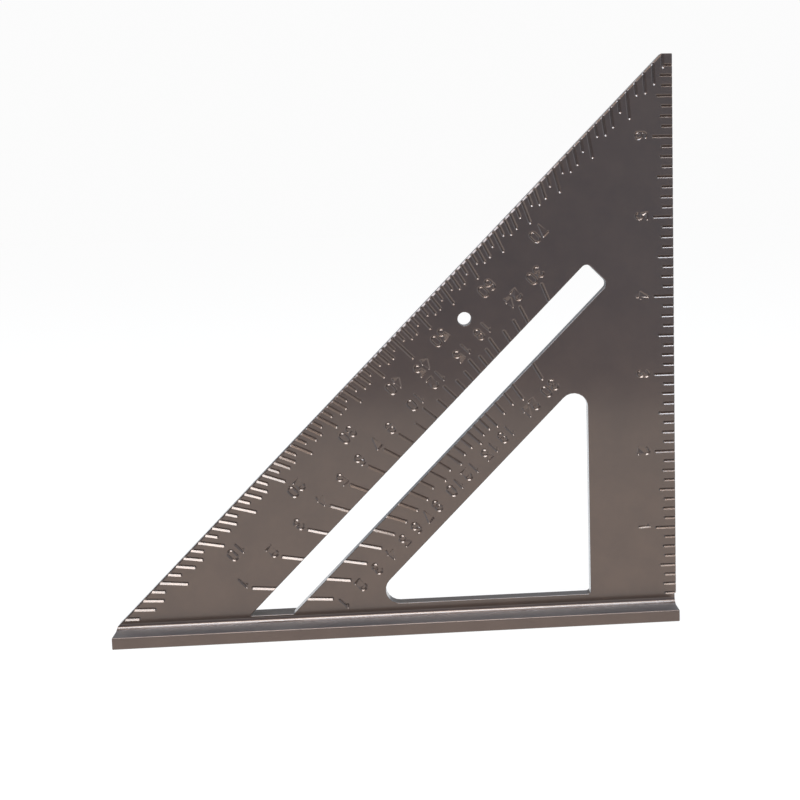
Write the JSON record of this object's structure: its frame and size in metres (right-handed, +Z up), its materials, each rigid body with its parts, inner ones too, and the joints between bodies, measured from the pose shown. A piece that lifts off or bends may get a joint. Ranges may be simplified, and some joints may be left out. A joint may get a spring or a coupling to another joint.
{
  "type": "rafter square",
  "caption": "Triangular cast rafter square standing on its T fence, with degree, inch and roofing scales, a slanted scribing slot, a window and a hanging hole.",
  "frame": {"origin": "middle of the fence's underside", "axes": "+X along the fence from the heel to the pivot end, +Y away from the marked face, +Z up the ruler edge to the tip"},
  "size_m": [0.181, 0.021, 0.182],
  "materials": {
    "coated_casting": "smooth glossy dark gunmetal coating over a die casting, with a brown cast low down and a violet-grey one towards the tip"
  },
  "bodies": {
    "root": {"front_ledge": "coated_casting", "rear_ledge": "coated_casting", "root": "coated_casting", "lower_rail": "coated_casting", "protractor_bar": "coated_casting", "hip_valley_bar": "coated_casting", "ruler_bar": "coated_casting"}
  },
  "joints": []
}
